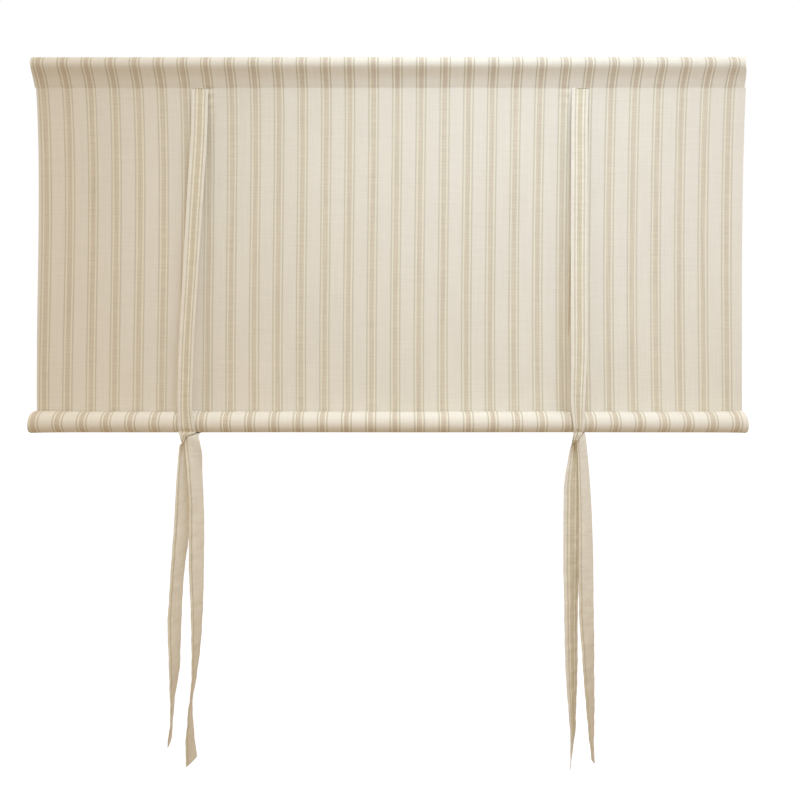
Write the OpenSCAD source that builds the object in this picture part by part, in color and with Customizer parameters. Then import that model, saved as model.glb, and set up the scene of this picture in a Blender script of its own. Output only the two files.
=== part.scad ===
// Tie-up roll blind: a striped cloth hung from a rod in its top casing. Its lower part is rolled up
// round a dowel, towards the front, and two pairs of cloth ties hold the roll, knotted under it.
// X runs along the rod, +Y to the back of the blind and +Z up. The origin is on the rod's axis at mid-width.

/* [Blind] */
// Width of the cloth
blind_w = 1000; // [600:10:1600]
// Height from the rod's axis down to the roll's axis
hang_h = 498; // [320:2:900]
// Thickness of the cloth
cloth_t = 0.7; // [0.5:0.05:1.2]
// Clearance between pieces that rest on each other
seat_gap = 0.3; // [0.2:0.05:0.5]

/* [Rod and casing] */
// Outside diameter of the top rod
rod_d = 20; // [14:1:30]
// Wall of the rod's tube
rod_wall = 1; // [0.8:0.1:2]
// How far each end of the rod lies inside the cloth's side edge
rod_inset = 8; // [2:1:30]
// Height of the casing below the rod, down to its seam
casing_below = 19; // [12:1:40]
// How far the seam lies behind the rod's axis
seam_back = 4; // [0:0.5:6]

/* [Panel] */
// How far the panel hangs behind the rod's axis
panel_back = 12; // [8:0.5:16]
// Height in which the cloth below the seam settles into the panel's plane
settle_h = 70; // [20:1:90]

/* [Roll] */
// Diameter of the dowel in the roll
dowel_d = 10; // [8:1:20]
// How far each end of the dowel lies inside the cloth's side edge
dowel_inset = 6; // [2:1:30]
// Turns of cloth round the dowel's pocket
roll_turns = 10; // [3:1:16]
// Air between two turns
turn_gap = 0.22; // [0.1:0.02:0.5]

/* [Ties] */
// Distance between the two pairs of ties where they are sewn on
tie_spacing = 536; // [240:2:900]
// Width of a tie
tie_w = 23; // [12:1:40]
// Thickness of a tie, which is folded and sewn flat
tie_t = 1; // [0.6:0.1:2]
// How far a tie bows across its width
tie_bow = 0.4; // [0.2:0.1:1.5]
// Height from the casing's seam down to a tie's top edge
tie_start = 2; // [1:0.5:20]
// How far both ties drift sideways on their way down to the knots
tie_drift = -12; // [-30:1:30]

/* [Knots] */
// Height from the roll's underside down to where a front tie is gathered
knot_drop = 7.5; // [6:0.5:20]
// Width and depth of a front tie where it is gathered
gather_w = 4.2; // [3.6:0.1:5]
// How far the left front tie is gathered to the side of its pair's line
left_gather_x = -6; // [-12:0.5:-4]
// How far the right front tie is gathered to the side of its pair's line
right_gather_x = -1; // [-8:0.5:0]
// Radius of the bend in which a back tie turns down in front of the gathered tie
bend_r = 5.2; // [4:0.2:6]
// How far the left back tie crosses to the other side of its pair's line
left_cross_x = 6.6; // [6:0.2:12]
// Width of the left back tie where it turns down
left_cross_w = 19.5; // [12:0.5:20]
// How far the right back tie crosses to the other side of its pair's line
right_cross_x = 9; // [8:0.2:12]
// Width of the right back tie where it turns down
right_cross_w = 12.5; // [10:0.5:14]

/* [Tails] */
// Length of the left front tie's tail, below the roll
left_front_tail_l = 433; // [150:2:600]
// Length of the left back tie's tail, below the roll
left_back_tail_l = 454; // [150:2:600]
// Length of the right front tie's tail, below the roll
right_front_tail_l = 453; // [150:2:600]
// Length of the right back tie's tail, below the roll
right_back_tail_l = 449; // [150:2:600]
// Height in which the gathered front tie passes behind the back tie
pass_h = 10; // [8:0.5:20]
// Height in which the tails open to their full width
spread_h = 44; // [30:1:80]
// Distance between the two tails of a pair, front to back
tail_gap = 8; // [7:0.5:15]
// Slant of a tail's cut end, each way from its middle
tail_slant = 8; // [0:0.5:12]
// Sideways sway of the left front tie's tail, at its middle and at its end
left_front_sway = [-10.5, -21]; // [-30:0.5:30]
// Turn of the left front tie's tail about the vertical, at its top and at its end
left_front_angles = [-140, -78]; // [-180:1:180]
// Sideways sway of the left back tie's tail, at its middle and at its end
left_back_sway = [6, 0.4]; // [-30:0.1:30]
// Turn of the left back tie's tail about the vertical, at its top and at its end
left_back_angles = [18, 129]; // [-180:1:180]
// Sideways sway of the right front tie's tail, at its middle and at its end
right_front_sway = [-4.7, -5.5]; // [-30:0.1:30]
// Turn of the right front tie's tail about the vertical, at its top and at its end
right_front_angles = [-8, -83]; // [-180:1:180]
// Sideways sway of the right back tie's tail, at its middle and at its end
right_back_sway = [6.7, 16]; // [-30:0.1:30]
// Turn of the right back tie's tail about the vertical, at its top and at its end
right_back_angles = [24, 86]; // [-180:1:180]

/* [Hidden] */

// Facets of a round surface
round_fn = 48;

// The casing's middle line: an arc over the rod and two straight runs to the seam, all as [y, z]
rod_r = rod_d / 2;
casing_r = rod_r + seat_gap + cloth_t / 2;
seam = [seam_back, -rod_r - casing_below];
seam_angle = atan2(seam.y, seam.x);
run_turn = acos(casing_r / norm(seam));
// How far the straight runs are drawn in towards the rod, where the cloth leaves its round
run_dip = 0.15;

// The panel swings back from the seam and settles into its plane, in a few settling heights or, on a short
// blind, in a share of its own height
settle_count = 4;
settle_share = 0.8;
settle_steps = 12;
settle_reach = min(settle_count * settle_h, settle_share * (hang_h + seam.y));
function panel_y(z) = panel_back - (panel_back - seam.x) * exp((z - seam.y) / settle_h);
panel_levels = [for (i = [0 : settle_steps]) seam.y - settle_reach * i / settle_steps];

// The roll's middle line: half circles whose radius falls by half a pitch each time
turn_pitch = cloth_t + turn_gap;
pocket_r = dowel_d / 2 + seat_gap + cloth_t / 2;
roll_r = pocket_r + roll_turns * turn_pitch;
roll_out_r = roll_r + cloth_t / 2;
roll_mid = [panel_back - roll_r, -hang_h];
panel_line = concat([for (z = panel_levels) [panel_y(z), z]], [[panel_back, roll_mid.y]]);

// A tie's middle line runs round the roll at this radius. The front tie leaves it in front, on its way to
// the place where it is gathered. The back tie goes under the roll, a little on, and down round a bend
wrap_r = roll_out_r + seat_gap + tie_t / 2;
tie_top_z = seam.y - tie_start;
tie_off_panel = cloth_t / 2 + seat_gap + tie_t / 2;
front_end = 222;
front_lean = front_end - 180;
under_end = -98;
under_lean = under_end + 90;
under_run = bend_r / 2;
bend_start = roll_mid + polar(wrap_r, under_end) - polar(under_run, under_lean);
bend_mid = bend_start + polar(bend_r, under_end);
tail_front_y = bend_mid.x - bend_r;
// The gathered tie lies this far in front of the bend, then passes to the back of the other tail
strand_gap = 0.6;
gather_y = tail_front_y - tie_t / 2 - strand_gap - gather_w / 2;
roll_under_z = roll_mid.y - roll_out_r;
gather_z = roll_under_z - knot_drop;
pass_z = gather_z - pass_h;
tail_back_y = tail_front_y + tail_gap;
open_z = pass_z - spread_h;

// The gathered tie's inner edge comes down early by this share and the rest late, its round falls away this
// much at its edges, and the passing takes this share of its tail's turn
early_share = 0.6;
late_exponent = 5;
edge_share = 0.9;
pass_turn_share = 0.75;

// Rings in each stretch of a tie, and points across its width
hang_rings = 9;
wrap_rings = 8;
under_rings = 12;
gather_rings = 9;
pass_rings = 7;
bend_rings = 6;
spread_rings = 8;
tail_rings = 20;
across = [-1, -1 / 3, 1 / 3, 1];
ring_size = 2 * len(across);

function ease(s) = s * s * (3 - 2 * s);
function mix(a, b, s) = a + (b - a) * s;
function polar(r, angle) = [r * cos(angle), r * sin(angle)];
function last(list) = list[len(list) - 1];

// A ring of a tie, as
// [middle, direction of its width, direction of its back, width, thickness, roundness, bow]
function half_thickness(ring, u) = ring[4] / 2 * mix(1, sqrt(1 - edge_share * u * u), ring[5]);
function ring_point(ring, u, face, slant) =
  ring[0] + ring[1] * u * ring[3] / 2
  + ring[2] * (face * half_thickness(ring, u) + ring[6] * (1 - u * u)) - [0, 0, slant * u];
function ring_points(ring, slant) = concat(
  [for (u = across) ring_point(ring, u, -1, slant)],
  [for (u = across) ring_point(ring, -u, 1, slant)]
);
// A plain ring whose width lies along X, at a place and with its back given as [y, z]
function flat_ring(x, p, back, width, bow) =
  [[x, p.x, p.y], [1, 0, 0], [0, back.x, back.y], width, tie_t, 0, bow];
// A level ring, turned about the vertical
function level_ring(x, y, z, turn, width, thickness, roundness, bow) =
  [[x, y, z], [cos(turn), sin(turn), 0], [-sin(turn), cos(turn), 0], width, thickness, roundness, bow];

// Sideways place of a tie at a height above its knot
function drift_x(x, z) = x + tie_drift * (tie_top_z - z) / (tie_top_z - gather_z);

// The front tie is taut from the seam to the roll, and goes round the roll's front
front_top = [panel_y(tie_top_z) - tie_off_panel, tie_top_z];
front_rel = front_top - roll_mid;
front_touch = atan2(front_rel.y, front_rel.x) + acos(wrap_r / norm(front_rel));
function front_rings(x) = concat(
  [
    for (i = [0 : hang_rings - 1])
      let (p = mix(front_top, roll_mid + polar(wrap_r, front_touch), i / hang_rings))
      flat_ring(drift_x(x, p.y), p, [1, 0], tie_w, -tie_bow)
  ],
  [
    for (i = [0 : wrap_rings - 1])
      let (angle = mix(front_touch, front_end, i / (wrap_rings - 1)), p = roll_mid + polar(wrap_r, angle))
      flat_ring(drift_x(x, p.y), p, -polar(1, angle), tie_w, -tie_bow)
  ]
);
// It is gathered between its two edges' own ways to the knot: the outer edge straight, the other one late
function gathered_rings(x, gather_x) =
  let (
    leave = roll_mid + polar(wrap_r, front_end),
    leave_x = drift_x(x, leave.y),
    outer_start = [leave_x - tie_w / 2, leave.x, leave.y],
    inner_start = [leave_x + tie_w / 2, leave.x, leave.y],
    outer_end = [gather_x - gather_w / 2, gather_y, gather_z],
    inner_end = [gather_x + gather_w / 2, gather_y, gather_z]
  )
  [
    for (i = [1 : gather_rings])
      let (
        s = i / gather_rings,
        outer = mix(outer_start, outer_end, s),
        inner = [
          mix(inner_start.x, inner_end.x, ease(s)),
          mix(inner_start.y, inner_end.y, s),
          mix(inner_start.z, inner_end.z, mix(pow(s, late_exponent), sqrt(s), early_share))
        ],
        lean = front_lean * (1 - s)
      )
      [
        (outer + inner) / 2, (inner - outer) / norm(inner - outer), [0, cos(lean), sin(lean)],
        norm(inner - outer), mix(tie_t, gather_w, ease(s)), ease(s), -tie_bow * (1 - s)
      ]
  ];
// Gathered, it passes behind the back tie, and there it opens into its tail
function passed_rings(gather_x, tail_turn) =
  let (pass_turn = pass_turn_share * tail_turn)
  concat(
    [
      for (i = [1 : pass_rings])
        let (s = i / pass_rings)
        level_ring(
          gather_x, mix(gather_y, tail_back_y, ease(s)), mix(gather_z, pass_z, s), pass_turn * ease(s),
          gather_w, gather_w, 1, 0
        )
    ],
    [
      for (i = [1 : spread_rings - 1])
        let (s = i / spread_rings)
        level_ring(
          gather_x, tail_back_y, mix(pass_z, open_z, s), mix(pass_turn, tail_turn, ease(s)),
          mix(gather_w, tie_w, s), mix(gather_w, tie_t, ease(s)), 1 - ease(s), tie_bow * s
        )
    ]
  );

// The back tie lies on the panel's back, goes under the roll and turns down in front
back_levels = concat([tie_top_z], [for (z = panel_levels) if (z < tie_top_z) z]);
back_hang = concat(
  [for (z = back_levels) [panel_y(z) + tie_off_panel, z]],
  [[panel_back + tie_off_panel, (last(panel_levels) + roll_mid.y) / 2]]
);
function back_rings(x, cross_x, cross_w) = concat(
  [for (p = back_hang) flat_ring(drift_x(x, p.y), p, [1, 0], tie_w, tie_bow)],
  [
    for (i = [0 : under_rings])
      let (s = i / under_rings, angle = under_end * s)
      flat_ring(
        mix(drift_x(x, roll_mid.y), cross_x, ease(s)), roll_mid + polar(wrap_r, angle), polar(1, angle),
        mix(tie_w, cross_w, ease(s)), tie_bow
      )
  ],
  [
    for (i = [0 : bend_rings])
      let (s = i / bend_rings, angle = mix(under_lean, 90, s) + 90)
      flat_ring(
        cross_x, bend_mid + polar(bend_r, angle), -polar(1, angle), cross_w, tie_bow * (1 - 2 * s)
      )
  ]
);
function crossed_rings(cross_x, cross_w, tail_turn) = [
  for (i = [1 : spread_rings - 1])
    let (s = i / spread_rings)
    level_ring(
      cross_x, tail_front_y, mix(bend_mid.y, open_z, s), tail_turn * ease(s),
      mix(cross_w, tie_w, s), tie_t, 0, -tie_bow
    )
];

// A tail hangs through [sideways at its middle, sideways at its end] and turns on, more and more
function sway_at(sway, s) = s * (4 * sway[0] - sway[1] + 2 * (sway[1] - 2 * sway[0]) * s);
function tail_rings_at(x, y, tail_l, sway, turn, bow) = [
  for (i = [0 : tail_rings])
    let (s = i / tail_rings)
    level_ring(
      x + sway_at(sway, s), y, mix(open_z, roll_under_z - tail_l, s), mix(turn[0], turn[1], s * s),
      tie_w, tie_t, 0, bow
    )
];

// A tie is one closed strip through all its rings
module strip(rings, slant) {
  count = len(rings);
  points = [
    for (i = [0 : count - 1])
      each ring_points(rings[i], i == count - 1 ? slant : 0)
  ];
  sides = [
    for (i = [0 : count - 2], j = [0 : ring_size - 1])
      let (
        a = i * ring_size + j,
        b = i * ring_size + (j + 1) % ring_size,
        c = a + ring_size,
        d = b + ring_size
      )
      each [[a, b, c], [b, d, c]]
  ];
  tip = (count - 1) * ring_size;
  ends = [
    for (j = [0 : len(across) - 2])
      let (k = j + 1, m = ring_size - 1 - j, n = m - 1)
      each [[j, m, k], [k, m, n], [tip + j, tip + k, tip + m], [tip + k, tip + n, tip + m]]
  ];
  color("#d8cab0") polyhedron(points, concat(sides, ends));
}

// The furthest a front tie may be gathered to the side of its pair's line to stay clear of the crossing tie
function clear_x(cross_off, cross_w) = cross_off - cross_w / 2 - strand_gap - gather_w / 2;

// Both kinds of tie: side is the sign of its pair's place along X, then the place of its gather or crossing,
// and its tail's length, sway and turn
module front_tie(side, gather_off, tail_l, sway, turn) {
  x = side * tie_spacing / 2;
  gather_x = x + tie_drift + gather_off;
  strip(
    concat(
      front_rings(x), gathered_rings(x, gather_x), passed_rings(gather_x, turn[0]),
      tail_rings_at(gather_x, tail_back_y, tail_l, sway, turn, tie_bow)
    ),
    -tail_slant
  );
}

module back_tie(side, cross_off, cross_w, tail_l, sway, turn) {
  x = side * tie_spacing / 2;
  cross_x = x + tie_drift + cross_off;
  strip(
    concat(
      back_rings(x, cross_x, cross_w), crossed_rings(cross_x, cross_w, turn[0]),
      tail_rings_at(cross_x, tail_front_y, tail_l, sway, turn, -tie_bow)
    ),
    tail_slant
  );
}

// A round of cloth about its middle line
module cloth_ring(r) {
  difference() {
    circle(r + cloth_t / 2, $fn = round_fn);
    circle(r - cloth_t / 2, $fn = round_fn);
  }
}

// A round over the rod with two straight runs down to a point at the seam
module casing_outline(r) {
  run_r = r - run_dip;
  circle(r, $fn = round_fn);
  polygon([
    [0, 0], polar(run_r, seam_angle - run_turn),
    polar(run_r / cos(run_turn), seam_angle), polar(run_r, seam_angle + run_turn)
  ]);
}

// The casing's section: the cloth over the rod down to the seam, and the bead of the sewn seam
module casing_section() {
  difference() {
    casing_outline(casing_r + cloth_t / 2);
    casing_outline(casing_r - cloth_t / 2);
  }
  translate(seam) circle(cloth_t, $fn = round_fn);
}

module panel_section() {
  half = [cloth_t / 2, 0];
  count = len(panel_line);
  polygon(concat(
    [for (p = panel_line) p - half],
    [for (i = [count - 1 : -1 : 0]) panel_line[i] + half]
  ));
}

// Half of every turn: side is -1 for the lower halves and 1 for the upper halves
module half_turns(side) {
  shift = side < 0 ? 0 : turn_pitch / 2;
  reach = 2 * roll_r;
  intersection() {
    translate([-shift, 0])
      for (k = [0 : roll_turns - 1]) cloth_ring(roll_r - shift - k * turn_pitch);
    translate([-reach, side < 0 ? -reach : 0]) square([2 * reach, reach]);
  }
}

module roll_section() {
  translate(roll_mid) {
    for (side = [-1, 1]) half_turns(side);
    cloth_ring(pocket_r);
  }
}

// Lays a section drawn as [y, z] along the rod's axis, centred
module along_rod(length) {
  rotate([90, 0, 90])
    translate([0, 0, -length / 2])
      linear_extrude(length) children();
}

module blind_cloth() {
  color("#e3dccd")
    along_rod(blind_w) {
      casing_section();
      panel_section();
      roll_section();
    }
}

module top_rod() {
  color("#f2f0ea")
    along_rod(blind_w - 2 * rod_inset)
      difference() {
        circle(rod_r, $fn = 2 * round_fn);
        circle(rod_r - rod_wall, $fn = 2 * round_fn);
      }
}

module bottom_dowel() {
  color("#d9b98a")
    along_rod(blind_w - 2 * dowel_inset)
      translate(roll_mid) circle(dowel_d / 2, $fn = round_fn);
}

module left_front_tie() {
  gather_off = min(left_gather_x, clear_x(left_cross_x, left_cross_w));
  front_tie(-1, gather_off, left_front_tail_l, left_front_sway, left_front_angles);
}

module left_back_tie() {
  back_tie(-1, left_cross_x, left_cross_w, left_back_tail_l, left_back_sway, left_back_angles);
}

module right_front_tie() {
  gather_off = min(right_gather_x, clear_x(right_cross_x, right_cross_w));
  front_tie(1, gather_off, right_front_tail_l, right_front_sway, right_front_angles);
}

module right_back_tie() {
  back_tie(1, right_cross_x, right_cross_w, right_back_tail_l, right_back_sway, right_back_angles);
}

blind_cloth();
top_rod();
bottom_dowel();
left_front_tie();
left_back_tie();
right_front_tie();
right_back_tie();
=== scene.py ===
import math

import bpy
import numpy as np
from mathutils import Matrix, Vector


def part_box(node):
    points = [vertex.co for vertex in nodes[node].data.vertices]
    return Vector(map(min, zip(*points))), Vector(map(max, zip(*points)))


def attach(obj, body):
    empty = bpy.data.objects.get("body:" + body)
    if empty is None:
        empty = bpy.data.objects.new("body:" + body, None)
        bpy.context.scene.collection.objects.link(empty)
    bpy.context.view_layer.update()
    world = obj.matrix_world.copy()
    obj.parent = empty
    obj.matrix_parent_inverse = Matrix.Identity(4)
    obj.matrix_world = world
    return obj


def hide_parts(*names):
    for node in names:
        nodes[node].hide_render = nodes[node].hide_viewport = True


# Looks of the tie-up roll blind: striped cotton cloth, four cloth ties, their stitches, the rod and the dowel
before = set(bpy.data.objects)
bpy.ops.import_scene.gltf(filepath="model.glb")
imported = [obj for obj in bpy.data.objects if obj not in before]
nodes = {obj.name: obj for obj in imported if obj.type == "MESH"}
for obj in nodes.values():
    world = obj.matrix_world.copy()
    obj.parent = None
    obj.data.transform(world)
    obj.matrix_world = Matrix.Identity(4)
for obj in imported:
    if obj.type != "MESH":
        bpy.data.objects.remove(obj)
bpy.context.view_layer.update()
MM = 0.001

# Camera at the photograph's viewing angle
scene = bpy.context.scene
scene.view_settings.view_transform = "Standard"
camera_data = bpy.data.cameras.new("photo_camera")
camera = bpy.data.objects.new("photo_camera", camera_data)
scene.collection.objects.link(camera)
camera.location = (0.0139, -0.925, -0.3282)
camera.rotation_euler = (math.radians(90), 0, 0)
camera_data.lens = 29.74
camera_data.sensor_width = 36
camera_data.shift_y = -0.125
scene.camera = camera

# Small helpers
SHARP_ANGLE = 50


def ease(s):
    """0 to 1 with soft ends."""
    s = np.clip(s, 0, 1)
    return s * s * (3 - 2 * s)


def mix(a, b, s):
    """From a to b as s goes from 0 to 1."""
    return a + (b - a) * s


def bell(x, middle, half):
    """A soft bump, 1 at its middle."""
    return np.exp(-(((x - middle) / half) ** 2))


def unit(v):
    """Directions made one long."""
    return v / np.linalg.norm(v, axis=-1, keepdims=True)


def lengths_along(points):
    """Length from the first point of a line to each of its points."""
    return np.concatenate([[0], np.cumsum(np.linalg.norm(np.diff(points, axis=0), axis=1))])


def keyed(keys, at):
    """Smooth curve through given keys, each (place, value, value, ...)."""
    table = np.array(sorted(keys), float)
    place = table[:, 0]
    values = table[:, 1:]
    at = np.clip(np.asarray(at, float), place[0], place[-1])
    slope = np.gradient(values, place, axis=0)
    i = np.clip(np.searchsorted(place, at) - 1, 0, len(place) - 2)
    step = (place[i + 1] - place[i])[:, None]
    s = (at - place[i])[:, None] / step
    return (
        values[i] * (1 + 2 * s) * (1 - s) ** 2
        + slope[i] * step * s * (1 - s) ** 2
        + values[i + 1] * s * s * (3 - 2 * s)
        + slope[i + 1] * step * s * s * (s - 1)
    )


def add_piece(name, points, faces):
    """A smooth piece from points in mm."""
    mesh = bpy.data.meshes.new(name)
    mesh.from_pydata((np.asarray(points) * MM).tolist(), [], faces)
    mesh.polygons.foreach_set("use_smooth", np.ones(len(faces), bool))
    piece = bpy.data.objects.new(name, mesh)
    scene.collection.objects.link(piece)
    return piece


def shell(name, front, back, across_front, across_back, along):
    """Closed sheet between two grids of points, with the flat cloth's own sizes as its UV map in metres."""
    rows, columns = front.shape[:2]
    count = rows * columns
    number = np.arange(count).reshape(rows, columns)

    def wall(line):
        other = line + count
        return np.stack([line[:-1], other[:-1], other[1:], line[1:]], -1)

    corners = [number[:-1, :-1], number[:-1, 1:], number[1:, 1:], number[1:, :-1]]
    quads = np.stack(corners, -1).reshape(-1, 4)
    faces = np.concatenate([
        quads, quads[:, ::-1] + count,
        wall(number[0]), wall(number[-1, ::-1]), wall(number[::-1, 0]), wall(number[:, -1]),
    ])
    points = np.concatenate([front.reshape(-1, 3), back.reshape(-1, 3)])
    piece = add_piece(name, points, faces.tolist())
    sideways = np.concatenate([across_front.ravel(), across_back.ravel()])
    flat = np.stack([sideways, np.tile(along.ravel(), 2)], -1) * MM
    uv = piece.data.uv_layers.new(name="cloth")
    uv.data.foreach_set("uv", flat[faces.ravel()].astype(np.float32).ravel())
    piece.data.set_sharp_from_angle(angle=math.radians(SHARP_ANGLE))
    return piece


def thicken(points, thickness):
    """A sheet's front and back from its middle surface."""
    normal = unit(np.cross(np.gradient(points, axis=1), np.gradient(points, axis=0)))
    return points + normal * thickness / 2, points - normal * thickness / 2


def node_box(node):
    """Low and high corner of a CAD node, in mm."""
    low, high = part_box(node)
    return np.array(low) / MM, np.array(high) / MM


# Sizes in mm, from the CAD part where it gives them
cloth_low, cloth_high = node_box("blind_cloth")
dowel_low, dowel_high = node_box("bottom_dowel")
rod_high = node_box("top_rod")[1]
tie_high = node_box("left_front_tie")[1]

CLOTH_T = 0.6
TIE_T = 1.0
TIE_W = 23.0
# From a piece's surface to the middle of the cloth that lies on it
SEAT = 0.65
HALF_W = cloth_high[0]
CASING_R = rod_high[2] + SEAT
# Depth and height of the casing's seam
SEAM = np.array([4.0, -29.0])
# Height in which the panel settles into its plane below the seam
SETTLE_H = 70.0
# Depth and height of the roll's middle
ROLL = ((dowel_low + dowel_high) / 2)[1:]
# From the outside of the solid's roll to the middle of the outer turn
ROLL_TIGHT = 0.85
ROLL_R = ROLL[1] - cloth_low[2] - ROLL_TIGHT
POCKET_R = dowel_high[2] - ROLL[1] + SEAT
TURNS = 10
TURN_PITCH = (ROLL_R - POCKET_R) / TURNS
PANEL_BACK = ROLL[0] + ROLL_R
TIE_OFF_CLOTH = SEAT + TIE_T / 2
WRAP_R = ROLL_R + TIE_OFF_CLOTH
TIE_TOP_Z = tie_high[2]


def panel_y(z):
    """Depth of the panel, which swings back from the seam and settles into its plane."""
    return PANEL_BACK - (PANEL_BACK - SEAM[0]) * np.exp((z - SEAM[1]) / SETTLE_H)


def round_points(middle, r, start, end, count):
    """Points on an arc, its angles in degrees."""
    a = np.radians(np.linspace(start, end, count))
    return np.stack([middle[0] + r * np.cos(a), middle[1] + r * np.sin(a)], -1)


# Blind cloth: the line of its section, from the back of the seam over the rod and down into the roll
CASING_POINTS = 30
BACK_RUN_POINTS = 6
FRONT_RUN_POINTS = 14
PUCKERED_ROWS = 16
OPEN_ROWS = 48
OUTER_HALF_POINTS = 24
INNER_HALF_POINTS = 9
POCKET_POINTS = 12
PLY_GAP = 0.02
PLY_FADE = 6
RUN_SAG = 0.9
RUN_SAG_FORM = 1.5
PUCKERED_START = SEAM[1] - 2
PUCKERED_END = -80
OPEN_START = -88
PANEL_ABOVE_ROLL = 6
POCKET_LAP = -325


def casing_line():
    """The cloth over the rod as [y, z], from the back of the seam round to its front."""
    seam_angle = math.degrees(math.atan2(SEAM[1], SEAM[0]))
    run_turn = math.degrees(math.acos(CASING_R / np.linalg.norm(SEAM)))
    half = np.array([CLOTH_T / 2 + PLY_GAP, 0])
    arc_ends = (seam_angle + run_turn, seam_angle + 360 - run_turn)
    arc = round_points((0, 0), CASING_R, *arc_ends, CASING_POINTS)
    back_run = np.linspace(SEAM + half, arc[0], BACK_RUN_POINTS)[:-1]
    share = np.linspace(0, 1, FRONT_RUN_POINTS)[1:]
    front_run = mix(arc[-1], SEAM - half, share[:, None])
    way = unit(SEAM - half - arc[-1])
    front_run += np.outer(RUN_SAG * np.sin(math.pi * share) ** RUN_SAG_FORM, [-way[1], way[0]])
    return np.concatenate([back_run, arc, front_run])


def panel_line():
    """The hanging panel as [y, z], from the seam down to the roll's back."""
    puckered = np.linspace(PUCKERED_START, PUCKERED_END, PUCKERED_ROWS)
    z = np.concatenate([puckered, np.linspace(OPEN_START, ROLL[1] + PANEL_ABOVE_ROLL, OPEN_ROWS)])
    in_front = (CLOTH_T / 2 + PLY_GAP) * np.exp((z - SEAM[1]) / PLY_FADE)
    return np.stack([panel_y(z) - in_front, z], -1)


def roll_line():
    """The roll as [y, z]: half circles, each half a pitch smaller than the last, and the dowel's pocket."""
    halves = []
    for k in range(TURNS):
        steps = OUTER_HALF_POINTS if k == 0 else INNER_HALF_POINTS
        r = ROLL_R - k * TURN_PITCH
        halves.append(round_points(ROLL, r, 0, -180, steps)[:-1])
        halves.append(round_points(ROLL - [TURN_PITCH / 2, 0], r - TURN_PITCH / 2, 180, 0, steps)[:-1])
    halves.append(round_points(ROLL, POCKET_R, 0, POCKET_LAP, POCKET_POINTS))
    return np.concatenate(halves)


# Blind cloth: its width. The stripes lie true out to the kept half width, and past it the edges draw in
KEPT_HALF_W = 484.0
EDGE_COLUMNS = (490, 495, 498)
TIE_COLUMNS = (238, 304)
PAST_TIE = 310
TIE_COLUMN_STEP = 2.5
OPEN_COLUMN_STEP = 9.5
# Side edges' insets at casing, panel and roll: (always, more where the cloth is drawn in)
RIGHT_INSET = np.array([(2.0, 6.8), (1.0, 1.7), (4.8, 3.8)])
LEFT_INSET = np.array([(-1.2, 1.6), (0.6, -1.4), (-0.8, 4.5)])
# Where round the rod and the roll the edges are drawn in: angle and half width in degrees
CASING_FRONT = (176, 80)
ROLL_FRONT = (185, 55)
ROLL_TOP = (80, 65)
ROLL_UNDER = (262, 35)
TOP_TAPER = 7
UNDER_TAPER = 3

# How the panel hangs: its drift and bulge to the left, and how far it is pulled to the right near each side
ROLL_DRIFT = -3.4
DRIFT_RATE = 1.02
LEFT_BULGE = 0.6
RIGHT_PULL_FROM = -0.1
RIGHT_PULL_OVER = 0.9
RIGHT_PULL = 1.2
RIGHT_PULL_LOW = 3.8
LEFT_PULL_FROM = 0.4
LEFT_PULL_OVER = 0.3
LEFT_PULL = 1.8
LEFT_PULL_MIDDLE = 2.7
# Shallow waves: (height, rate across the width, rate on the way down, start)
WAVE_H = 1.1
WAVE_FORM = 0.7
WAVES = ((0.9, 7.1, 0.9, 0.8), (0.6, 13.7, 1.7, -1.1), (0.35, 23.9, -2.6, 2.3), (0.8, 3.1, 4.0, 0.4))

# Puckers at the ties: (place, way to the second one, height, place of the knot below)
PUCKERS = ((-255.5, 7, 1.5, -280), (247.5, -7, 0.8, 256))
PUCKER_REACH = 44
PUCKER_RIPPLES = 3.2
PUCKER_START = 0.15
PUCKER_W = 4.5
SECOND_PUCKER_W = 6
SECOND_PUCKER = 0.33
KNOT_REACH = 20
KNOT_PULL = 0.09
OUTER_TURN = 0.86

# The roll's loose ends, and how its outer turns waver: rates across the width and round the roll
END_REACH = 26.0
END_LOOSE = 0.07
END_FORM = 8
WAVER = 0.006
WAVER_ACROSS = 9.0
WAVER_ROUND = 3.0


def cloth_columns():
    """Places across the width: close together at the ties and at the side edges."""
    near_tie = np.arange(*TIE_COLUMNS, TIE_COLUMN_STEP)
    inner = np.arange(0, TIE_COLUMNS[0], OPEN_COLUMN_STEP)
    outer = np.arange(PAST_TIE, KEPT_HALF_W, OPEN_COLUMN_STEP)
    places = np.round([*inner, *near_tie, *outer], 2)
    half = np.array(sorted({*places, KEPT_HALF_W, *EDGE_COLUMNS, HALF_W}))
    return np.concatenate([-half[:0:-1], half])


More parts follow.
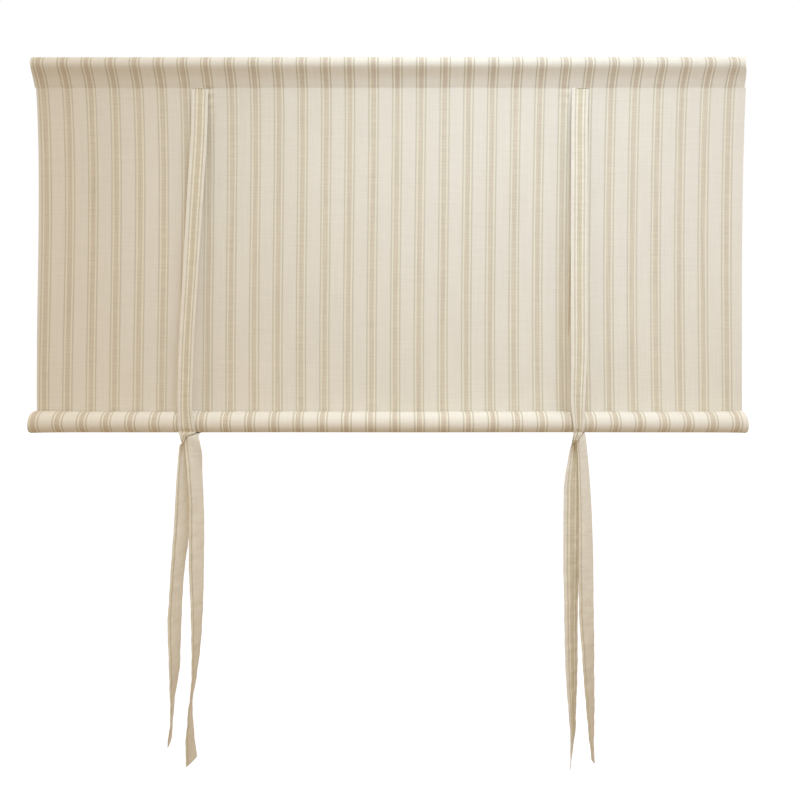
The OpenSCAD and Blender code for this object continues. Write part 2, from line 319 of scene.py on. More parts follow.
def make_cloth():
    """The whole cloth, and its length laid flat."""
    parts = [casing_line(), panel_line(), roll_line()]
    line = np.concatenate(parts)
    stretch = np.repeat([0, 1, 2], [len(part) for part in parts])
    casing, panel, roll = (stretch == k for k in range(3))
    x = cloth_columns()
    y, z = line.T
    length = lengths_along(line)
    from_axis = line - np.where(roll[:, None], ROLL, 0)
    angle = np.degrees(np.arctan2(from_axis[:, 1], from_axis[:, 0])) % 360
    depth = np.where(roll, (np.linalg.norm(from_axis, axis=1) - POCKET_R) / (ROLL_R - POCKET_R), 0)
    down = np.clip((SEAM[1] - z) / (SEAM[1] - ROLL[1]), 0, 1)
    middle = np.sin(math.pi * down)

    # The side edges aren't dead straight: the casing is drawn in in front, and the roll's ends taper
    front = np.where(casing, bell(angle, *CASING_FRONT), bell(angle, *ROLL_FRONT) * depth)
    taper = (TOP_TAPER * bell(angle, *ROLL_TOP) + UNDER_TAPER * bell(angle, *ROLL_UNDER)) * depth
    always, more = RIGHT_INSET[stretch].T
    right_in = always + more * np.where(panel, down, front) + taper
    always, more = LEFT_INSET[stretch].T
    left_in = always + more * np.where(panel, middle, front) + taper
    edge = HALF_W - np.where(x[None, :] > 0, right_in[:, None], left_in[:, None])
    beyond = np.maximum(np.abs(x) - KEPT_HALF_W, 0) / (HALF_W - KEPT_HALF_W)
    across = np.sign(x) * (np.minimum(np.abs(x), KEPT_HALF_W) + beyond * (edge - KEPT_HALF_W))

    # The panel drifts sideways on its way down, is pulled askew at its sides and hangs in shallow waves
    u = across / HALF_W
    w = down[:, None]
    drift = ROLL_DRIFT * ease(down * DRIFT_RATE) - LEFT_BULGE * middle
    px = across + np.where(casing, 0, np.where(panel, drift, ROLL_DRIFT))[:, None]
    px += ease((u - RIGHT_PULL_FROM) / RIGHT_PULL_OVER) * (RIGHT_PULL + RIGHT_PULL_LOW * w * w)
    px += ease((-u - LEFT_PULL_FROM) / LEFT_PULL_OVER) * (LEFT_PULL + LEFT_PULL_MIDDLE * middle[:, None])
    free = np.where(panel, np.abs(middle) ** WAVE_FORM, 0)[:, None]
    wave = sum(high * np.sin(sideways * u + start + falling * w) for high, sideways, falling, start in WAVES)
    py = y[:, None] - WAVE_H * free * wave
    pz = np.broadcast_to(z[:, None], px.shape).copy()

    # Small puckers beside the sewn tops of the ties, and the roll's outer turn gathered under their knots
    below = np.clip((SEAM[1] - pz) / PUCKER_REACH, 0, 1)
    ripple = np.sin(2 * math.pi * (below * PUCKER_RIPPLES + PUCKER_START)) * (1 - below)
    ripple *= (below > 0) * panel[:, None]
    outer_turn = (roll & (depth > OUTER_TURN))[:, None]
    for pucker_x, beside, high, knot_x in PUCKERS:
        second = SECOND_PUCKER * bell(across, pucker_x + beside, SECOND_PUCKER_W)
        py += ripple * high * (bell(across, pucker_x, PUCKER_W) + second)
        px += (knot_x - across) * bell(across, knot_x, KNOT_REACH) * KNOT_PULL * outer_turn

    # The roll is looser at its ends, and its outer turns waver slightly
    end = END_LOOSE * np.exp(-(HALF_W - np.abs(x)) / END_REACH)[None, :]
    waver = WAVER * np.sin(WAVER_ACROSS * u + WAVER_ROUND * np.radians(angle)[:, None])
    loose = depth[:, None] * (end + waver)
    py += np.where(roll[:, None], loose * from_axis[:, :1], 0)
    pz += np.where(roll[:, None], loose * from_axis[:, 1:], 0)
    py += np.where(panel, down ** END_FORM * ROLL_R, 0)[:, None] * end

    front_side, back_side = thicken(np.stack([px, py, pz], -1), CLOTH_T)
    from_seam = length - length[np.flatnonzero(panel)[0]]
    along = np.broadcast_to(from_seam[:, None], px.shape)
    return shell("striped_blind_cloth", front_side, back_side, across, across, along), length[-1]


cloth, cloth_length = make_cloth()

# Ties: how they are made up
X_AXIS = np.array([1.0, 0, 0])
BEHIND = np.array([0, 1.0, 0])
POINTS_ACROSS = 25
EDGE_FROM = 0.9
EDGE_THIN = 0.45
FACE_SHIFT = 0.6
REVERSE_START = 2.9
# Creases of a tail: (height, length, slant)
CREASE = 0.26
CREASES = ((1.0, 5.3, 2.0), (0.7, 2.48368, -1.5))
CREASE_START = 12
# Ties: rings of points along each stretch
HANG_RINGS = 60
WRAP_RINGS = 16
GATHER_RINGS = 18
PASS_RINGS = 14
OPEN_RINGS = 24
BACK_RINGS = 50
UNDER_RINGS = 20
CAP_RINGS = 14
SPREAD_RINGS = 30
TAIL_RINGS = 90
CUT_RINGS = 16
# Front ties: bow and pleats in front of the roll, and where they are gathered and pass behind
FRONT_BOW = -0.3
FRONT_PLEAT = 0.3
LEAVE_ANGLE = 222
LEAVE_OFF = 0.6
GATHER_Y = -16.8
GATHER_Z = -521.0
GATHER_TILT = 0.6
GATHER_PLEAT = 1.5
GATHER_LEFT_FORM = 1.2
FLAT_ACROSS_FORM = 0.8
FLAT_DROP = 0.62
FLAT_DROP_FORM = 0.55
FLAT_DIP_FORM = 5
PASS_Y = -5.0
PASS_Z = -530.0
PASS_LIFT = 0.5
PASS_PLEAT = 1.0
# Back ties: bow behind the panel, run under the roll, and the bend over which they turn down
BACK_BOW = 0.2
BACK_ABOVE_ROLL = 3
UNDER_END = -98
UNDER_RUN = 2.6
UNDER_PLEAT = 0.3
CAP_R = 5.2
CAP_BOW = -2.0
CAP_BOW_FADE = 1.5
CAP_PLEAT = 0.15


class Strip:
    """A tie as rings across it, each with its middle, the directions of its width and back, and its form."""

    def __init__(self):
        self.rings = []

    def add(self, middle, wide, back, width=TIE_W, pleat=0.0, fold=0.0, bow=0.0, crease=0.0, slant=0.0):
        form = (width, pleat, fold, bow, crease, slant)
        self.rings.append((np.array(middle, float), np.array(wide, float), np.array(back, float), form))

    def build(self, name, face_in_front):
        """The tie as a closed piece, and its length."""
        u = np.linspace(-1, 1, POINTS_ACROSS)
        length = lengths_along(np.array([ring[0] for ring in self.rings]))
        rows = []
        for at, (middle, wide, back, form) in zip(length, self.rings):
            width, pleat, fold, bow, crease, slant = form
            out = bow * (1 - u * u) + fold * np.abs(u) + pleat * np.cos(3 * math.pi * u)
            out += crease * sum(high * np.sin(at / long + lean * u) for high, long, lean in CREASES)
            rows.append(middle + np.outer(u * width / 2, wide) + np.outer(out, back))
            rows[-1][:, 2] -= u * slant
        points = np.array(rows)
        edge = (np.clip(np.abs(u), EDGE_FROM, 1) - EDGE_FROM) / (1 - EDGE_FROM)
        front_side, back_side = thicken(points, TIE_T * mix(1, EDGE_THIN, edge)[None, :, None])
        # The face has one group of stripes down its middle, the plain reverse only a line near one edge
        face = np.broadcast_to(u * TIE_W / 2 - FACE_SHIFT, points.shape[:2])
        from_edge = (1 - u if face_in_front else 1 + u) * TIE_W / 2
        reverse = np.broadcast_to(REVERSE_START + from_edge, points.shape[:2])
        sides = (reverse, face) if face_in_front else (face, reverse)
        along = np.broadcast_to(length[:, None], points.shape[:2])
        return shell(name, front_side, back_side, *sides, along), length[-1]


def turned(turn):
    """Direction of a hanging tie's width, and of its back, when it is turned about the vertical."""
    a = math.radians(turn)
    return np.array([math.cos(a), math.sin(a), 0]), np.array([-math.sin(a), math.cos(a), 0])


def outward(angle):
    """Direction away from the roll's middle at an angle round it."""
    a = math.radians(angle)
    return np.array([0, math.cos(a), math.sin(a)])


def on_roll(angle, r=WRAP_R):
    """Depth and height of a point at an angle round the roll."""
    return ROLL + r * outward(angle)[1:]


def add_tail(strip, keys, slant):
    """A free tail through keys of (height, sideways, depth, turn, bow), cut at a slant."""
    heights = np.linspace(keys[0][0], keys[-1][0], TAIL_RINGS)
    for i, (z, (x, y, turn, bow)) in enumerate(zip(heights, keyed(keys, heights))):
        near_cut = ease((i - TAIL_RINGS + CUT_RINGS) / (CUT_RINGS - 1))
        crease = CREASE * ease(i / CREASE_START)
        strip.add((x, y, z), *turned(turn), bow=bow, crease=crease, slant=slant * near_cut)


def add_front(strip, keys):
    """Taut in front of the panel and round the roll's front, by keys of (height, sideways, width, fold).

    Gives its two edges where it leaves the roll, and its fold there.
    """
    top = np.array([panel_y(TIE_TOP_Z) - TIE_OFF_CLOTH, TIE_TOP_Z])
    rel = top - ROLL
    touch = math.degrees(math.atan2(rel[1], rel[0]) + math.acos(WRAP_R / np.linalg.norm(rel)))
    touch_y, touch_z = on_roll(touch)
    share = np.linspace(0, 1, HANG_RINGS)
    heights = mix(top[1], touch_z, share)
    for s, z, (x, width, fold) in zip(share, heights, keyed(keys, heights)):
        strip.add((x, mix(top[0], touch_y, s), z), X_AXIS, BEHIND, width, fold=-fold, bow=FRONT_BOW * s)
    for s in np.linspace(0, 1, WRAP_RINGS)[1:]:
        angle = mix(touch, LEAVE_ANGLE, s)
        y, z = on_roll(angle, WRAP_R + LEAVE_OFF * s)
        (x, width, fold), = keyed(keys, [z])
        pleat = FRONT_PLEAT * s
        strip.add((x, y, z), X_AXIS, -outward(angle), width, pleat=pleat, fold=-fold, bow=FRONT_BOW)
    half = X_AXIS * width / 2
    return np.array([x, y, z]) - half, np.array([x, y, z]) + half, fold


def add_gather(strip, start, x, width, flat):
    """From the roll's front to the gather.

    The left edge runs straight. The right edge runs straight too, or with flat at 1 it first drops,
    then runs across and dips again at the end.
    """
    left, right, fold = start
    left_end = np.array([x - width / 2, GATHER_Y, GATHER_Z])
    right_end = np.array([x + width / 2, GATHER_Y, GATHER_Z + GATHER_TILT])
    for s in np.linspace(0, 1, GATHER_RINGS)[1:]:
        sideways = mix(s, ease(s) ** FLAT_ACROSS_FORM, flat)
        flat_drop = FLAT_DROP * s ** FLAT_DROP_FORM + (1 - FLAT_DROP) * s ** FLAT_DIP_FORM
        drop = mix(s, flat_drop, flat)
        near_left = mix(left, left_end, np.array([s ** GATHER_LEFT_FORM, s, s]))
        near_right = mix(right, right_end, np.array([sideways, s, drop]))
        reach = near_right - near_left
        strip.add(
            (near_left + near_right) / 2, unit(reach), BEHIND, np.linalg.norm(reach),
            pleat=mix(FRONT_PLEAT, GATHER_PLEAT, ease(s)),
            fold=-fold * (1 - s), bow=FRONT_BOW - math.sin(math.pi * s),
        )


def front_tie(name, hang_keys, gather, part, tail_keys, slant):
    """Sewn on below the seam, taut to the roll, round its front, gathered and led behind the other tie."""
    strip = Strip()
    gather_x, gather_w, gather_turn, gather_flat = gather
    part_x, part_w, part_turn, squeeze, opening = part
    add_gather(strip, add_front(strip, hang_keys), gather_x, gather_w, gather_flat)
    for s in np.linspace(0, 1, PASS_RINGS)[1:]:
        y = mix(GATHER_Y, PASS_Y, ease(s))
        z = mix(GATHER_Z + PASS_LIFT, PASS_Z, s)
        width = mix(gather_w, part_w, s) - squeeze * math.sin(math.pi * s)
        turn = mix(gather_turn, part_turn, ease(s))
        pleat = mix(GATHER_PLEAT, PASS_PLEAT, s)
        strip.add((mix(gather_x, part_x, s), y, z), *turned(turn), width, pleat=pleat)
    tail_z, tail_x, tail_y, tail_turn, tail_bow = tail_keys[0]
    for s in np.linspace(0, 1, OPEN_RINGS)[1:-1]:
        place = (mix(part_x, tail_x, ease(s)), mix(PASS_Y, tail_y, ease(s)), mix(PASS_Z, tail_z, s))
        strip.add(
            place, *turned(mix(part_turn, tail_turn, ease(s))), mix(part_w, TIE_W, s ** opening),
            pleat=PASS_PLEAT * (1 - s) ** 2, bow=tail_bow * s,
        )
    add_tail(strip, tail_keys, slant)
    return strip.build(name, face_in_front=True)


def back_tie(name, x_top, x_roll, cap, tail_keys, slant):
    """Sewn on behind the panel, down its back, under the roll to the front, and over a bend into the tail."""
    strip = Strip()
    cap_x, cap_w, opening = cap
    for s in np.linspace(0, 1, BACK_RINGS):
        z = mix(TIE_TOP_Z, ROLL[1] + BACK_ABOVE_ROLL, s)
        place = (mix(x_top, x_roll, s), panel_y(z) + TIE_OFF_CLOTH, z)
        strip.add(place, X_AXIS, BEHIND, bow=BACK_BOW)
    for s in np.linspace(0, 1, UNDER_RINGS):
        place = (mix(x_roll, cap_x, ease(s)), *on_roll(UNDER_END * s))
        width = mix(TIE_W, cap_w, ease(s))
        strip.add(place, X_AXIS, outward(UNDER_END * s), width, pleat=UNDER_PLEAT * ease(s))
    under_way = outward(UNDER_END + 90)
    leaves = np.array([cap_x, *on_roll(UNDER_END)]) - UNDER_RUN * under_way
    bend = leaves + CAP_R * outward(UNDER_END)
    for s in np.linspace(0, 1, CAP_RINGS):
        back = outward(mix(UNDER_END, 0, s))
        pleat = mix(UNDER_PLEAT, CAP_PLEAT, s)
        strip.add(bend - CAP_R * back, X_AXIS, back, cap_w, pleat=pleat, bow=CAP_BOW * ease(s))
    tail_z, tail_x, tail_y, tail_turn, tail_bow = tail_keys[0]
    start_y = bend[1] - CAP_R
    for s in np.linspace(0, 1, SPREAD_RINGS)[1:-1]:
        x = mix(cap_x, tail_x, 1 - (1 - s) ** 2)
        place = (x, mix(start_y, tail_y, ease(s)), mix(bend[2], tail_z, s))
        strip.add(
            place, *turned(tail_turn * ease(s)), mix(cap_w, TIE_W, s ** opening),
            pleat=CAP_PLEAT * (1 - s), bow=mix(CAP_BOW, tail_bow, ease(CAP_BOW_FADE * s)),
        )
    add_tail(strip, tail_keys, slant)
    return strip.build(name, face_in_front=False)


# Front ties as hung: (height, sideways, width, fold)
left_hang = [
    (-31, -267, 23.4, 0), (-110, -268, 23, 0), (-140, -269.5, 23, 0.3), (-275, -275.5, 21.5, 1.0),
    (-425, -281, 20.5, 1.2), (-490, -280.5, 21.5, 0.8), (-500, -279.5, 23.5, 0.2), (-512, -279, 24, 0),
]
right_hang = [
    (-31, 267, 23.8, 0), (-80, 265.3, 23, 0), (-140, 264.4, 23, 0), (-275, 262, 22.5, 0.6),
    (-415, 260, 21.5, 2.2), (-480, 257.6, 18, 3.8), (-500, 258.2, 14.5, 4.2), (-512, 258.6, 12, 3.6),
]
# Tails: (height, sideways, depth, turn, bow)
left_behind = [
    (-607, -289, -3.2, -131, 0.8), (-635, -290, -3, -136, 0.9), (-667, -292.4, -3, -136, 1.0),
    (-705, -296.2, -3, -125, 1.0), (-736, -298.4, -3, -122, 1.1), (-775, -300.5, -3, -124, 1.2),
    (-816, -300.6, -3, -114, 1.0), (-846, -300.6, -3, -108, 0.8), (-882, -303, -3, -89, 0.5),
    (-907, -304.2, -3, -81, 0.4), (-943, -307.7, -3, -82, 0.4), (-949, -308.6, -3, -81, 0.3),
]
left_before = [
    (-565, -269.8, -12, 46, -1.0), (-600, -267.9, -11.5, 50, -1.1), (-633, -267.4, -11, 46, -1.2),
    (-702, -267.7, -10.5, 49, -1.2), (-738, -267.1, -10.5, 59, -1.0), (-771, -267.2, -10.5, 67, -0.8),
    (-813, -268.3, -10.5, 77.5, -0.6), (-842, -270.1, -10.5, 86.5, -0.4), (-878, -274.5, -10.5, 94, -0.3),
    (-886, -275.9, -10.5, 95, -0.3), (-903, -276.5, -10.5, 91, -0.3), (-938, -276.6, -10.5, 77.5, -0.4),
    (-967, -274.4, -10.5, 70, -0.6),
]
right_behind = [
    (-590, 253.9, -3.4, -3, -0.8), (-635, 253.4, -3, -3, -1.0), (-667, 253.1, -3, 1, -1.1),
    (-705, 252.7, -3, 8, -1.2), (-740, 252.6, -3, 20, -1.2), (-775, 252.5, -3, 25, -1.1),
    (-836, 253.2, -3, 31, -1.0), (-882, 254.2, -3, 44, -0.6), (-907, 254.7, -3, 53, -0.4),
    (-943, 255.2, -3, 60, -0.4), (-964, 252.8, -3, 66, -0.3),
]
right_before = [
    (-690, 271.1, -10.5, 16, -1.2), (-732, 271.6, -10.5, 17.5, -1.2), (-771, 272.2, -10.5, 19, -1.1),
    (-812, 274.3, -10.5, 30, -0.9), (-842, 275.2, -10.5, 36.5, -0.7), (-877, 276.9, -10.5, 44, -0.5),
    (-902, 278.1, -10.5, 50, -0.4), (-938, 279.3, -10.5, 60, -0.4), (-967, 281, -10.5, 66, -0.3),
]

# A front tie's gather is (sideways, width, turn, flat). Its part, where it comes out behind the other tie,
# is (sideways, width, turn, squeeze on the way, opening). A back tie's cap is (sideways, width, opening).
left_front, left_front_length = front_tie(
    "left_front_cloth_tie", left_hang,
    gather=(-284.4, 4.6, -20, 1.0), part=(-287.0, 11.0, -150, 3.0, 0.8), tail_keys=left_behind, slant=-4,
)
right_front, right_front_length = front_tie(
    "right_front_cloth_tie", right_hang,
    gather=(253.8, 7.4, -8, 0.0), part=(256.6, 8.0, -3, 1.0, 0.6), tail_keys=right_behind, slant=-13.5,
)
left_back, left_back_length = back_tie(
    "left_back_cloth_tie", x_top=-268, x_roll=-278,
    cap=(-273.4, 19.5, 0.6), tail_keys=left_before, slant=0,
)
right_back, right_back_length = back_tie(
    "right_back_cloth_tie", x_top=268, x_roll=259,
    cap=(263.8, 12.4, 1.0), tail_keys=right_before, slant=10,
)

# Stitches that hold the tops of the ties, their dark thread partly painted shade of the gap under each tie's
# top edge
TACK_STITCHES = 6
TACK_INSET = 1.6
TACK_OUT = 1.9
TACK_DROP = 0.2
STITCH_HALF = 1.35
STITCH_R = 0.42
STITCH_DIP = 0.5
STITCH_BLUNT = 0.04
STITCH_SIDES = 8


def bar_tack(name, left, right, slope):
    """A short row of thread stitches across the top of a tie."""
    share = np.linspace(-1, 1, 7)
    around = np.linspace(0, 2 * math.pi, STITCH_SIDES, endpoint=False)
    points = []
    faces = []
    for x in np.linspace(left + TACK_INSET, right - TACK_INSET, TACK_STITCHES):
        base = len(points)
        z = TIE_TOP_Z - TACK_DROP + slope * (x - left)
        for s in share:
            r = STITCH_R * math.sqrt(max(STITCH_BLUNT, 1 - s ** 4))
            y = panel_y(TIE_TOP_Z) - TACK_OUT + STITCH_DIP * s * s
            points += [(x + s * STITCH_HALF, y + r * math.cos(a), z + r * math.sin(a)) for a in around]
        last = base + STITCH_SIDES * (len(share) - 1)
        for first in range(base, last, STITCH_SIDES):
            for j in range(STITCH_SIDES):
                k = (j + 1) % STITCH_SIDES
                faces.append((first + j, first + k, first + k + STITCH_SIDES, first + j + STITCH_SIDES))
        faces.append(tuple(range(base, base + STITCH_SIDES))[::-1])
        faces.append(tuple(range(last, last + STITCH_SIDES)))
    return add_piece(name, points, faces)


left_tack = bar_tack("left_tie_stitches", left=-277.5, right=-256, slope=-0.03)
right_tack = bar_tack("right_tie_stitches", left=262, right=279, slope=-0.02)


# Materials
class Value:
    """A value in a node tree: plain arithmetic on values adds the nodes for it."""

    def __init__(self, tree, socket=None):
        self.tree = tree
        self.socket = socket

    def fill(self, made, sockets):
        """Set or link the sockets of a node."""
        for name, value in sockets.items():
            if isinstance(value, Value):
                self.tree.links.new(value.socket, made.inputs[name])
            else:
                made.inputs[name].default_value = value

    def node(self, kind, settings=(), sockets=(), output=0):
        """Add any node by its type, its settings and the values or links of its sockets."""
        made = self.tree.nodes.new(kind)
        for name, setting in dict(settings).items():
            setattr(made, name, setting)
        self.fill(made, dict(sockets))
        return Value(self.tree, made.outputs[output]) if len(made.outputs) else made

    def math(self, operation, first, second=0.0):
        return self.node("ShaderNodeMath", {"operation": operation}, {0: first, 1: second})

    def __add__(self, other):
        return self.math("ADD", self, other)

    def __radd__(self, other):
        return self.math("ADD", other, self)

    def __sub__(self, other):
        return self.math("SUBTRACT", self, other)

    def __rsub__(self, other):
        return self.math("SUBTRACT", other, self)

    def __mul__(self, other):
        return self.math("MULTIPLY", self, other)

    def __rmul__(self, other):
        return self.math("MULTIPLY", other, self)

    def __truediv__(self, other):
        return self.math("DIVIDE", self, other)

    def __rtruediv__(self, other):
        return self.math("DIVIDE", other, self)

    def __abs__(self):
        return self.math("ABSOLUTE", self)

    def floor(self):
        return self.math("FLOOR", self)

    def sin(self):
        return self.math("SINE", self)

    def step(self, low, high):
        """0 below low, 1 above high, soft between."""
        settings = {"interpolation_type": "SMOOTHSTEP"}
        return self.node("ShaderNodeMapRange", settings, {0: self, 1: low, 2: high})

    def blend(self, a, b):
        """Colour from a to b as this value goes from 0 to 1."""
        return self.node("ShaderNodeMix", {"data_type": "RGBA"}, {0: self, 6: a, 7: b}, output=2)

    def scaled(self, factor):
        """A colour times a value."""
        return self.node("ShaderNodeVectorMath", {"operation": "SCALE"}, {0: self, "Scale": factor})

    def stretched(self, factors):
        """A place times three factors, one for each axis."""
        return self.node("ShaderNodeVectorMath", {"operation": "MULTIPLY"}, {0: self, 1: factors})

    def point(self, y, z):
        """A place from this value and two more."""
        return self.node("ShaderNodeCombineXYZ", sockets={0: self, 1: y, 2: z})

    def noise(self, scale, detail=2.0, rough=0.5):
        """Cloudy value about 0.5 at a place."""
        sockets = {"Vector": self, "Scale": scale, "Detail": detail, "Roughness": rough}
        return self.node("ShaderNodeTexNoise", sockets=sockets)

    def bump(self, strength, distance):
        """A surface direction from this value as a height."""
        sockets = {"Height": self, "Strength": strength, "Distance": distance}
        return self.node("ShaderNodeBump", sockets=sockets)


def linear(red, green, blue):
    """A colour as seen on a screen, 0 to 255, as light."""
    seen = np.array([red, green, blue]) / 255
    light = np.where(seen <= 0.04045, seen / 12.92, ((seen + 0.055) / 1.055) ** 2.4)
    return (*light.tolist(), 1.0)


def new_material(name):
    """A material with its place to start adding nodes, and its surface."""
    material = bpy.data.materials.new(name)
    material.use_nodes = True
    tree = material.node_tree
    surface = tree.nodes["Principled BSDF"]
    surface.inputs["Specular IOR Level"].default_value = 0.2
    return material, Value(tree), surface


def object_place(start):
    """A point's place on its piece, in metres."""
    return start.node("ShaderNodeTexCoord", output="Object")


def cloth_place(start):
    """The flat cloth's own x and y at a point, in mm."""
    place = start.node("ShaderNodeUVMap", {"uv_map": "cloth"})
    x, y = (start.node("ShaderNodeSeparateXYZ", sockets={0: place}, output=k) for k in range(2))
    return x * 1000.0, y * 1000.0


def mottle(x, y, across, along, layer, detail=2.0, rough=0.5):
    """Cloudy value about 0 on the flat cloth, with so many patches to a mm across it and along it."""
    return (x * across).point(y * along, layer).noise(1.0, detail, rough) - 0.5


# Striped cotton: its colours
GROUND = linear(232, 225, 212)
BAND = linear(217, 206, 186)
GAP = linear(234, 227, 207)
LINE = linear(213, 204, 186)
REVERSE_BAND = linear(210, 197, 178)
REVERSE_LINE = linear(205, 195, 178)
TIE_BAND = linear(211, 200, 177)
TIE_LINE = linear(208, 199, 179)
# Painted shade: the dark warm colour that a tie's tail turns towards at its end
PAINTED_TAIL_SHADE = linear(152, 132, 80)
# Striped cotton: where its stripes lie on the flat cloth, each group measured from its middle, in mm
STRIPE_FIRST = -489.2
STRIPE_PITCH = 33.29
STRIPE_WANDER = 0.5
BAND_END = 3.35
GAP_END = 5.45
LINE_END = 7.5
EDGE_BLUR = 0.2
GAP_STRENGTH = 0.8
# Striped cotton: lengths along the cloth or a tie, in mm, and how soft their edges are
ROLL_FROM = 470.0
ROLL_SOFT = 8.0
CASING_EDGE = (-1.0, 0.5)
SEAM_ROW = -1.2
ROW_EDGE = (0.25, 0.6)
STITCH_EDGE = (-0.2, 0.5)
# Where along a tie the painted shade at its tail's end begins and where it is full
PAINTED_TAIL_SHADE_FROM = 620.0
PAINTED_TAIL_SHADE_TO = 960.0
THREAD_PITCH = 0.9
STITCH_PITCH = 3.2
# Striped cotton: patches to a mm, across the cloth and along it
SLUB = (0.9, 0.012)
WEFT = (0.02, 0.8)
WANDER = (0.05, 0.05)
CLOUD = (0.012, 0.012)
CRUMPLE = (0.055, 0.04)
BLOTCH = (0.08, 0.06)
TIE_CREASE = (0.05, 0.16)
# Striped cotton: how much each of them shades it, and how much painted light lightens the roll
SLUB_SHADE = 0.28
WEFT_SHADE = 0.26
GROUND_THREADS = 0.5
BAND_THREADS = 0.9
CLOUD_SHADE = 0.06
BLOTCH_SHADE = 0.16
ROLL_PAINTED_LIGHT = 0.05
# Striped cotton: how high each of them stands, in mm
WEAVE_H = 0.05
SLUB_H = 0.10
WEFT_H = 0.10
CRUMPLE_H = 0.55
CREASE_H = 0.9
STITCH_H = 0.35


def striped_cotton(name, first, tie=False, painted_light_lift=0.0, painted_tail_shade=0.0):
    """Plain-woven cotton with groups of a tan band between two thin lines. A tie's end is darkened and warmed
    towards its tip as painted shade, and a tie's cotton can be lightened as painted light.
    """
    material, start, surface = new_material(name)
    x, y = cloth_place(start)
    slub = mottle(x, y, *SLUB, layer=3.7, detail=3.0)
    weft = mottle(x, y, *WEFT, layer=8.1, detail=3.0)
    wander = mottle(x, y, *WANDER, layer=1.3)
    cloud = mottle(x, y, *CLOUD, layer=5.5)
    crumple = mottle(x, y, *CRUMPLE, layer=2.2, detail=3.0, rough=0.6)
    warp_wave, weft_wave = ((place * (2 * math.pi / THREAD_PITCH)).sin() for place in (x, y))

    share = (x + wander * STRIPE_WANDER - first) / STRIPE_PITCH + 0.5
    off = abs(share - share.floor() - 0.5) * STRIPE_PITCH
    past_band, past_gap, past_line = (
        off.step(end - EDGE_BLUR, end + EDGE_BLUR) for end in (BAND_END, GAP_END, LINE_END)
    )
    in_band = 1.0 - past_band
    in_gap = past_band * (1.0 - past_gap)
    in_line = past_gap * (1.0 - past_line)

    threads = slub * SLUB_SHADE + weft * WEFT_SHADE
    shade = 1.0 + threads * (GROUND_THREADS + in_band * BAND_THREADS) + cloud * CLOUD_SHADE
    height = warp_wave * weft_wave * WEAVE_H + slub * SLUB_H + weft * WEFT_H + crumple * CRUMPLE_H
    if tie:
        band = TIE_BAND
        line = TIE_LINE
        # Painted light: the tie's cotton is lightened by its lift; the blotches are its own uneven tone
        shade = shade + painted_light_lift + mottle(x, y, *BLOTCH, layer=9.3) * BLOTCH_SHADE
        height = height + mottle(x, y, *TIE_CREASE, layer=6.4) * CREASE_H
    else:
        # Casing and roll show the cloth's reverse, whose stripes are stronger
        rolled = y.step(ROLL_FROM - ROLL_SOFT, ROLL_FROM + ROLL_SOFT)
        reverse = 1.0 - y.step(*CASING_EDGE) * (1.0 - rolled)
        band = reverse.blend(BAND, REVERSE_BAND)
        line = reverse.blend(LINE, REVERSE_LINE)
        # Painted light: the roll is lightened a little
        shade = shade + rolled * ROLL_PAINTED_LIGHT
        # The casing's seam is a row of sunk stitches
        in_row = 1.0 - abs(y - SEAM_ROW).step(*ROW_EDGE)
        stitch = (x * (2 * math.pi / STITCH_PITCH)).sin().step(*STITCH_EDGE)
        height = height - in_row * stitch * STITCH_H
    colour = in_band.blend(GROUND, band)
    colour = (in_gap * GAP_STRENGTH).blend(colour, GAP)
    colour = in_line.blend(colour, line)
    # Painted shade: a tie's tail darkens and warms towards its end
    if painted_tail_shade:
        colour = (y.step(PAINTED_TAIL_SHADE_FROM, PAINTED_TAIL_SHADE_TO) * painted_tail_shade).blend(colour, PAINTED_TAIL_SHADE)
    start.fill(surface, {
        "Base Color": colour.scaled(shade),
        "Roughness": 0.86 + slub * 0.12,
        "Normal": height.bump(1.0, MM),
    })
    return material


def thread_with_painted_shade():
    material, start, surface = new_material("stitch_thread_painted_shade")
    twist = object_place(start).noise(2500.0)
    start.fill(surface, {
        # Thread colour darkened as painted shade of the gap under the tie's top edge
        "Base Color": twist.blend(linear(136, 118, 92), linear(166, 148, 120)),
        "Roughness": 0.8,
        "Normal": twist.bump(0.4, 0.0002),
    })
    return material


def white_lacquer():
    material, start, surface = new_material("white_lacquer")
    place = object_place(start)
    cloud = place.noise(60.0, 3.0)
    start.fill(surface, {
        "Base Color": cloud.blend(linear(238, 236, 230), linear(246, 245, 240)),
        "Roughness": 0.28 + (cloud - 0.5) * 0.2,
        "Normal": place.noise(900.0).bump(0.15, 0.0003),
    })
    return material


def bare_beech():
    material, start, surface = new_material("bare_beech")
    grain = object_place(start).stretched((18.0, 900.0, 900.0)).noise(1.0, 4.0)
    start.fill(surface, {
        "Base Color": grain.blend(linear(196, 158, 112), linear(226, 196, 152)),
        "Roughness": 0.6 + (grain - 0.5) * 0.2,
        "Normal": grain.bump(0.3, 0.0004),
    })
    return material


def wear(piece, material):
    """Give a piece one material in place of any it has."""
    piece.data.materials.clear()
    piece.data.materials.append(material)


# What each piece is made of, hangs on and stands for
wear(nodes["top_rod"], white_lacquer())
wear(nodes["bottom_dowel"], bare_beech())
wear(cloth, striped_cotton("striped_cotton", STRIPE_FIRST))
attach(cloth, "root")
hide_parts("blind_cloth")

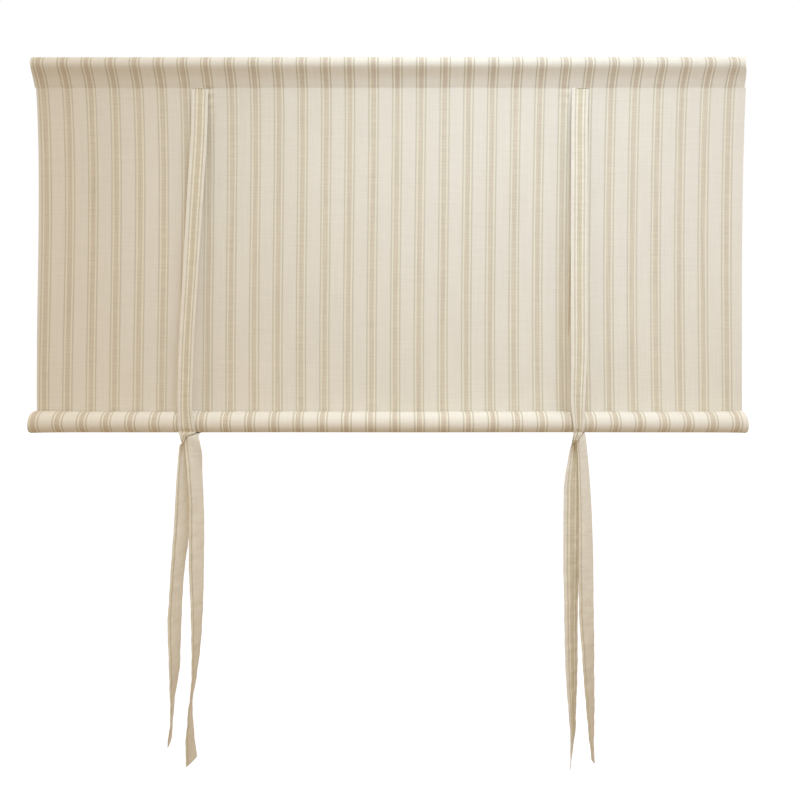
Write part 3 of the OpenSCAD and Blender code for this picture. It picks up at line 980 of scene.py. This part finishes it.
# Front and back tie cottons are one cloth, differing only by painted light and painted shade: the front ties
# lightened more, the back ties' tail ends darkened more
front_cotton = striped_cotton("front_tie_cotton", 0.0, tie=True, painted_light_lift=0.04, painted_tail_shade=0.03)
back_cotton = striped_cotton("back_tie_cotton", 0.0, tie=True, painted_light_lift=0.01, painted_tail_shade=0.26)
thread = thread_with_painted_shade()
ties = {
    "left_front_tie": (left_front, left_front_length, [left_tack]),
    "left_back_tie": (left_back, left_back_length, []),
    "right_front_tie": (right_front, right_front_length, [right_tack]),
    "right_back_tie": (right_back, right_back_length, []),
}
for node, (tie, tie_length, tacks) in ties.items():
    wear(tie, front_cotton if tacks else back_cotton)
    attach(tie, "root")
    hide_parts(node)
    for tack in tacks:
        wear(tack, thread)
        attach(tack, "root")
    flat_tie = (TIE_W * MM, round(tie_length * MM, 3))

# Room: a pale floor and a soft warm world, both white where the camera sees them
FLOOR_Z = -1300.0
FLOOR_REACH = 12000.0
FLOOR_PALE = ((0.48, 0.42, 0.34, 1), (0.52, 0.46, 0.38, 1))
FLOOR_LIFT = (0.64, 0.72, 0.84, 1)
WORLD_LIGHT = (0.88, 0.77, 0.635, 1)
BLACK = (0, 0, 0, 1)
WHITE = (1, 1, 1, 1)
LAMP_SPREAD = 90


def seen_share(start):
    """1 on rays that reach the camera straight, by a mirror or through glass."""
    rays = ("Is Camera Ray", "Is Glossy Ray", "Is Transmission Ray")
    straight, mirrored, through = (start.node("ShaderNodeLightPath", output=ray) for ray in rays)
    return start.math("MINIMUM", straight + mirrored + through, 1.0)


def pale_floor():
    material, start, surface = new_material("pale_floor")
    start.fill(surface, {
        "Base Color": object_place(start).noise(30.0, 3.0).blend(*FLOOR_PALE),
        "Roughness": 0.9,
        "Emission Color": seen_share(start).blend(BLACK, FLOOR_LIFT),
        "Emission Strength": 1.0,
    })
    return material


def studio_world():
    world = bpy.data.worlds.new("studio")
    world.use_nodes = True
    world.node_tree.nodes.clear()
    start = Value(world.node_tree)
    light, white = (start.node("ShaderNodeBackground", sockets={0: c}) for c in (WORLD_LIGHT, WHITE))
    choice = start.node("ShaderNodeMixShader", sockets={0: seen_share(start), 1: light, 2: white})
    start.node("ShaderNodeOutputWorld", sockets={0: choice})
    return world


def lamp(name, place, aim, size, energy, colour):
    """A soft square lamp that shines from one place to another."""
    data = bpy.data.lights.new(name, "AREA")
    data.shape = "SQUARE"
    data.size = size
    data.spread = math.radians(LAMP_SPREAD)
    data.energy = energy
    data.color = colour
    light = bpy.data.objects.new(name, data)
    scene.collection.objects.link(light)
    light.location = place
    x, y, z = np.array(aim) - np.array(place)
    light.rotation_euler = (math.acos(-z / math.hypot(x, y, z)), 0, math.atan2(y, x) - math.pi / 2)


floor_ends = ((-1, -1), (1, -1), (1, 1), (-1, 1))
floor_corners = [(x * FLOOR_REACH, y * FLOOR_REACH, FLOOR_Z) for x, y in floor_ends]
floor = add_piece("floor", floor_corners, [(0, 1, 2, 3)])
wear(floor, pale_floor())
scene.world = studio_world()
lamp("key", place=(0.14, -0.83, 0.8), aim=(0.18, 0, -0.3), size=0.5, energy=2.8, colour=(0.63, 0.82, 1.0))
lamp("back", place=(-0.2, 1.2, 0.2), aim=(0, 0, -0.25), size=0.8, energy=3.0, colour=(0.7, 0.85, 1.0))
lamp("fill", place=(0.55, -1, 0.05), aim=(0.3, 0, -0.2), size=0.7, energy=0.7, colour=(0.53, 0.72, 1.0))
